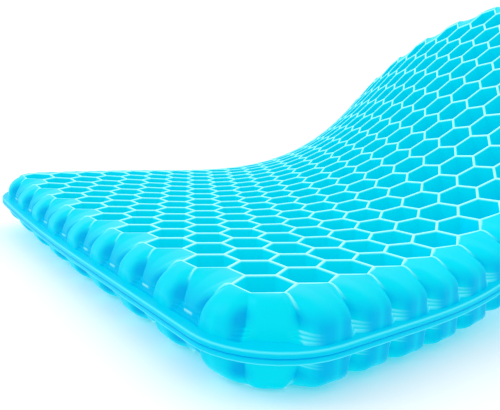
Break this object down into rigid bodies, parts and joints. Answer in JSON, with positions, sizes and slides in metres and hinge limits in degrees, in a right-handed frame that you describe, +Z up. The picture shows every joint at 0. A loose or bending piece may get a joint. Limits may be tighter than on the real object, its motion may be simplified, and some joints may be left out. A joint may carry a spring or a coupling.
{
  "type": "honeycomb gel seat cushion",
  "caption": "Rectangular open-cell honeycomb gel seat cushion with a thin lip around its middle, flexed so that its front lies flat and its rear rises.",
  "frame": {"origin": "middle of the bounding box's bottom face, in the flexed pose", "axes": "+X across the seat, +Y from the flat front edge to the raised rear, +Z up"},
  "size_m": [0.3716, 0.4208, 0.2019],
  "materials": {
    "gel_cells": "translucent satin gel",
    "gel_sheet": "translucent satin gel"
  },
  "bodies": {
    "front_panel": {"front_upper_cells": "gel_cells", "front_upper_sheet": "gel_sheet", "front_lower_sheet": "gel_sheet", "front_lower_cells": "gel_cells", "front_fold_upper_cells": "gel_cells", "front_fold_upper_sheet": "gel_sheet", "front_fold_lower_sheet": "gel_sheet", "front_fold_lower_cells": "gel_cells"},
    "front_middle_panel": {"front_middle_upper_cells": "gel_cells", "front_middle_upper_sheet": "gel_sheet", "front_middle_lower_sheet": "gel_sheet", "front_middle_lower_cells": "gel_cells", "middle_fold_upper_cells": "gel_cells", "middle_fold_upper_sheet": "gel_sheet", "middle_fold_lower_sheet": "gel_sheet", "middle_fold_lower_cells": "gel_cells"},
    "rear_middle_panel": {"rear_middle_upper_cells": "gel_cells", "rear_middle_upper_sheet": "gel_sheet", "rear_middle_lower_sheet": "gel_sheet", "rear_middle_lower_cells": "gel_cells", "rear_fold_upper_cells": "gel_cells", "rear_fold_upper_sheet": "gel_sheet", "rear_fold_lower_sheet": "gel_sheet", "rear_fold_lower_cells": "gel_cells"},
    "rear_panel": {"rear_upper_cells": "gel_cells", "rear_upper_sheet": "gel_sheet", "rear_lower_sheet": "gel_sheet", "rear_lower_cells": "gel_cells"}
  },
  "joints": [
    {"name": "front_fold_bend", "type": "hinge", "parent": "front_panel", "child": "front_middle_panel", "pos_m": [0.0029, -0.052, 0.0219], "axis": [0.8671, -0.4976, -0.0249], "range_deg": [-15, 35], "deforming": ["front_fold_upper_cells", "front_fold_upper_sheet", "front_fold_lower_sheet", "front_fold_lower_cells"]},
    {"name": "middle_fold_bend", "type": "hinge", "parent": "front_middle_panel", "child": "rear_middle_panel", "pos_m": [0.0014, 0.0108, 0.0368], "axis": [0.8699, -0.4889, -0.0655], "range_deg": [-15, 35], "deforming": ["middle_fold_upper_cells", "middle_fold_upper_sheet", "middle_fold_lower_sheet", "middle_fold_lower_cells"]},
    {"name": "rear_fold_bend", "type": "hinge", "parent": "rear_middle_panel", "child": "rear_panel", "pos_m": [-0.0016, 0.068, 0.0668], "axis": [0.8737, -0.4777, -0.0923], "range_deg": [-15, 35], "deforming": ["rear_fold_upper_cells", "rear_fold_upper_sheet", "rear_fold_lower_sheet", "rear_fold_lower_cells"]}
  ]
}
